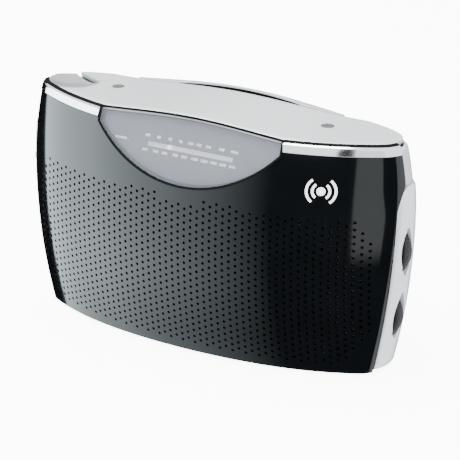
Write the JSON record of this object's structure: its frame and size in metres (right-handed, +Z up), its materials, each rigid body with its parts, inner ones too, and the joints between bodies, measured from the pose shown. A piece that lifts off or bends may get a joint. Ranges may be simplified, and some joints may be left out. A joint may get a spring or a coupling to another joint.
{
  "type": "portable radio",
  "caption": "Bow-fronted portable radio with a perforated gloss front, arched dial window, side thumbwheels, moulded carrying grip and folding telescopic aerial.",
  "frame": {"origin": "centre of the bounding box's footprint, on the surface that the feet stand on", "axes": "+X to the listener's right across the front, +Y to the rear, +Z up; the grille faces -Y"},
  "size_m": [0.261, 0.0878, 0.1465],
  "materials": {
    "gloss_black_front": "high gloss, perforated",
    "chrome_trim": "bright plating",
    "smoked_window": "smoked clear plastic",
    "scale_grey": "printed scale",
    "pointer_white": "moulded",
    "rail_silver": "moulded",
    "dial_cord_thread": "braided thread",
    "steel_hardware": "plain",
    "power_lamp": "tinted lamp",
    "satin_silver": "satin silver lacquer",
    "plug_grey": "moulded plug",
    "grip_grey": "satin grey lacquer",
    "cover_silver": "satin silver lacquer",
    "dark_moulding": "fine texture",
    "side_trim_silver": "bright silver lacquer",
    "wheel_black": "knurled",
    "drum_cream": "moulded",
    "control_brown": "phenolic",
    "switch_metal": "plated",
    "socket_black": "moulded",
    "basket_black": "black steel",
    "cone_paper": "pressed paper",
    "magnet_grey": "plain",
    "board_green": "solder mask",
    "component_black": "moulded",
    "ferrite_grey": "sintered",
    "coil_copper": "enamelled wire",
    "transformer_iron": "laminated",
    "foot_rubber": "moulded",
    "aerial_chrome": "bright plating"
  },
  "bodies": {
    "case": {"front_panel": "gloss_black_front", "chrome_band_right": "chrome_trim", "chrome_band_left": "chrome_trim", "dial_lens": "smoked_window", "dial_scale": "scale_grey", "pointer_rail": "rail_silver", "dial_cord": "dial_cord_thread", "cord_posts": "steel_hardware", "power_led": "power_lamp", "top_plate": "satin_silver", "handle_screw_plugs": "plug_grey", "handle_grip_bar": "grip_grey", "aerial_recess_tray": "satin_silver", "rear_cover": "cover_silver", "base_plate": "dark_moulding", "hand_well": "dark_moulding", "side_trim_right": "side_trim_silver", "side_trim_left": "side_trim_silver", "tuning_gang": "drum_cream", "volume_control": "control_brown", "band_switch_body": "switch_metal", "headphone_socket": "socket_black", "mains_inlet": "socket_black", "mains_inlet_pins": "steel_hardware", "speaker_basket": "basket_black", "speaker_cone": "cone_paper", "speaker_magnet": "magnet_grey", "circuit_board": "board_green", "board_components": "component_black", "ferrite_rod": "ferrite_grey", "ferrite_coil": "coil_copper", "mains_transformer": "transformer_iron", "battery_tray": "dark_moulding", "battery_springs": "steel_hardware", "battery_door_hinge_pin": "steel_hardware", "feet": "foot_rubber", "case_screws": "steel_hardware", "aerial_bracket": "dark_moulding"},
    "dial_pointer": {"dial_pointer": "pointer_white"},
    "tuning_wheel": {"tuning_wheel": "wheel_black", "tuning_shaft": "steel_hardware", "cord_drum": "drum_cream"},
    "volume_wheel": {"volume_wheel": "wheel_black"},
    "band_switch_knob": {"band_switch_knob": "wheel_black"},
    "battery_door": {"battery_door": "cover_silver"},
    "aerial_swivel": {"aerial_swivel": "aerial_chrome", "aerial_hinge_pin": "steel_hardware"},
    "aerial_tube_1": {"aerial_tube_1": "aerial_chrome"},
    "aerial_tube_2": {"aerial_tube_2": "aerial_chrome"},
    "aerial_tube_3": {"aerial_tube_3": "aerial_chrome"},
    "aerial_tube_4": {"aerial_tube_4": "aerial_chrome", "aerial_tip": "aerial_chrome"}
  },
  "joints": [
    {"name": "tuning_turn", "type": "hinge", "parent": "case", "child": "tuning_wheel", "pos_m": [0.1135, -0.00075, 0.078], "axis": [0, 1, 0], "range_deg": [-52, 220]},
    {"name": "pointer_slide", "type": "slide", "parent": "case", "child": "dial_pointer", "axis": [1, 0, 0], "range_m": [-0.0084, 0.0355]},
    {"name": "volume_turn", "type": "hinge", "parent": "case", "child": "volume_wheel", "pos_m": [0.1092, -0.00075, 0.037], "axis": [0, 1, 0], "range_deg": [-120, 150]},
    {"name": "band_switch_slide", "type": "slide", "parent": "case", "child": "band_switch_knob", "axis": [0, 0, 1], "range_m": [0, 0.008]},
    {"name": "battery_door_hinge", "type": "hinge", "parent": "case", "child": "battery_door", "pos_m": [0, 0.02855, 0.0098], "axis": [-1, 0, 0], "range_deg": [0, 95]},
    {"name": "aerial_swivel_turn", "type": "hinge", "parent": "case", "child": "aerial_swivel", "pos_m": [-0.098, 0.03895, 0.127], "axis": [0, 0, 1], "range_deg": [0, 180]},
    {"name": "aerial_tilt", "type": "hinge", "parent": "aerial_swivel", "child": "aerial_tube_1", "pos_m": [-0.098, 0.03895, 0.127], "axis": [0, -1, 0], "range_deg": [0, 90]},
    {"name": "aerial_extend_1", "type": "slide", "parent": "aerial_tube_1", "child": "aerial_tube_2", "axis": [1, 0, 0], "range_m": [0, 0.16]},
    {"name": "aerial_extend_2", "type": "slide", "parent": "aerial_tube_2", "child": "aerial_tube_3", "axis": [1, 0, 0], "range_m": [0, 0.16]},
    {"name": "aerial_extend_3", "type": "slide", "parent": "aerial_tube_3", "child": "aerial_tube_4", "axis": [1, 0, 0], "range_m": [0, 0.16]}
  ],
  "couplings": [
    {"joint": "pointer_slide", "follows": "tuning_turn", "m_per_rad": 0.0092}
  ]
}
